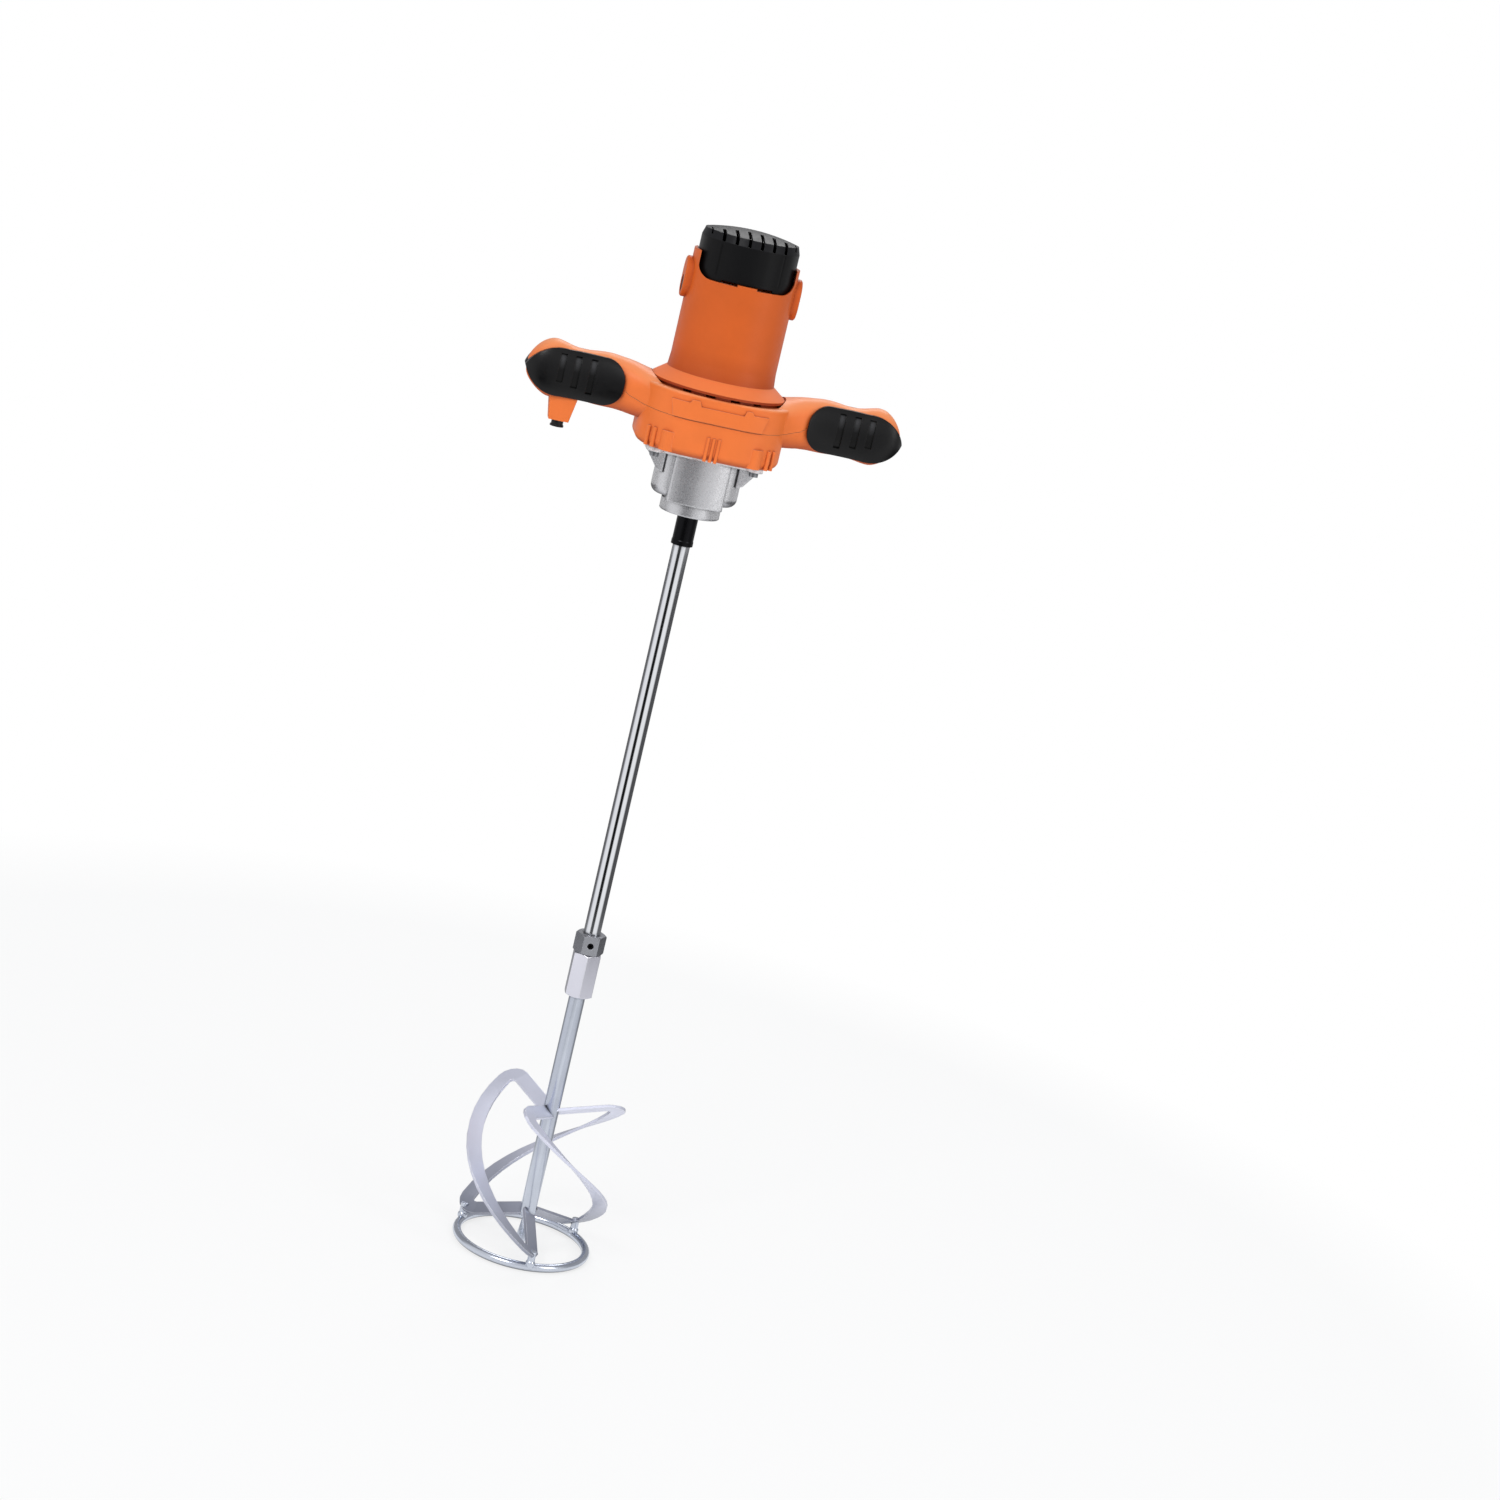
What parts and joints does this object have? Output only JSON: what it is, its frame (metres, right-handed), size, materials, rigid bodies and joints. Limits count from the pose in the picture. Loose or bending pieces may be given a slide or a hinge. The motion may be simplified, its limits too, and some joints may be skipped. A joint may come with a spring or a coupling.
{
  "type": "mixing drill",
  "caption": "Two-handed electric mixing drill: upright motor, straight side handles, cast gear case, two-part rod and a three-blade helical paddle with a foot ring.",
  "frame": {"origin": "on the spindle axis, at the height of the middle of the two hand grips", "axes": "+Z along the spindle axis towards the motor cap, +X towards the grip without the trigger, -Y is the front"},
  "size_m": [0.357, 0.15, 1.0132],
  "materials": {
    "orange_shell": "satin moulded plastic",
    "black_plastic": "satin moulded plastic",
    "grip_rubber": "soft satin rubber",
    "cast_aluminium": "sand-cast",
    "black_steel": "black oxide",
    "chrome": "bright drawn",
    "zinc_steel": "bright zinc",
    "bare_steel": "machined",
    "stator_steel": "laminated",
    "copper": "enamelled wire",
    "brass": "drawn",
    "carbon": "pressed carbon",
    "dark_plastic": "moulded",
    "soft_rubber": "moulded rubber",
    "screw_steel": "zinc plated"
  },
  "bodies": {
    "tool_body": {"motor_cap": "black_plastic", "cap_screws": "screw_steel", "motor_housing": "orange_shell", "brush_caps": "black_plastic", "brush_holders": "brass", "carbon_brushes": "carbon", "brush_springs": "bare_steel", "stator_core": "stator_steel", "stator_screws": "screw_steel", "field_coils": "copper", "motor_baffle": "dark_plastic", "upper_bearing": "bare_steel", "lower_bearing": "bare_steel", "handle_upper_shell": "orange_shell", "handle_lower_shell": "orange_shell", "grip_front_right": "grip_rubber", "grip_front_left": "grip_rubber", "grip_rear_right": "grip_rubber", "grip_rear_left": "grip_rubber", "handle_screws": "screw_steel", "switch_body": "dark_plastic", "interference_capacitor": "dark_plastic", "cord_bush": "soft_rubber", "cord_clamp": "dark_plastic", "cord_clamp_screws": "screw_steel", "gear_housing": "cast_aluminium", "gear_plate": "cast_aluminium", "gear_plate_screws": "screw_steel", "housing_screws": "screw_steel", "layshaft_upper_bearing": "bare_steel", "layshaft_lower_bearing": "bare_steel", "spindle_upper_bearing": "bare_steel", "spindle_lower_bearing": "bare_steel", "retaining_ring": "bare_steel", "spindle_seal": "soft_rubber"},
    "rotor": {"armature_shaft": "bare_steel", "armature_core": "stator_steel", "armature_winding": "copper", "commutator": "copper", "motor_fan": "dark_plastic"},
    "layshaft_body": {"layshaft": "bare_steel", "layshaft_gear": "bare_steel"},
    "spindle_body": {"spindle": "black_steel", "output_gear": "bare_steel", "gear_key": "bare_steel", "upper_rod": "chrome", "lock_nut": "bare_steel", "set_screw": "black_steel", "hex_coupling": "zinc_steel", "paddle_shaft": "zinc_steel", "paddle_ring": "zinc_steel", "paddle_blade_1": "zinc_steel", "paddle_blade_2": "zinc_steel", "paddle_blade_3": "zinc_steel"},
    "trigger_body": {"trigger": "black_plastic"},
    "lock_body": {"lock_button": "black_plastic"}
  },
  "joints": [
    {"name": "spindle_spin", "type": "hinge", "parent": "tool_body", "child": "spindle_body", "pos_m": [0, 0, 0], "axis": [0, 0, 1], "continuous": true},
    {"name": "layshaft_spin", "type": "hinge", "parent": "tool_body", "child": "layshaft_body", "pos_m": [0.025, 0, 0], "axis": [0, 0, 1], "continuous": true},
    {"name": "rotor_spin", "type": "hinge", "parent": "tool_body", "child": "rotor", "pos_m": [0, 0, 0], "axis": [0, 0, 1], "continuous": true},
    {"name": "trigger_press", "type": "slide", "parent": "tool_body", "child": "trigger_body", "axis": [0, -1, 0], "range_m": [0, 0.006], "stiffness_N_per_m": 500, "springref_m": -0.008},
    {"name": "lock_press", "type": "slide", "parent": "tool_body", "child": "lock_body", "axis": [0, -1, 0], "range_m": [0, 0.0035], "stiffness_N_per_m": 600, "springref_m": -0.003}
  ],
  "couplings": [
    {"joint": "layshaft_spin", "follows": "spindle_spin", "ratio": -4},
    {"joint": "rotor_spin", "follows": "spindle_spin", "ratio": 24.571}
  ]
}
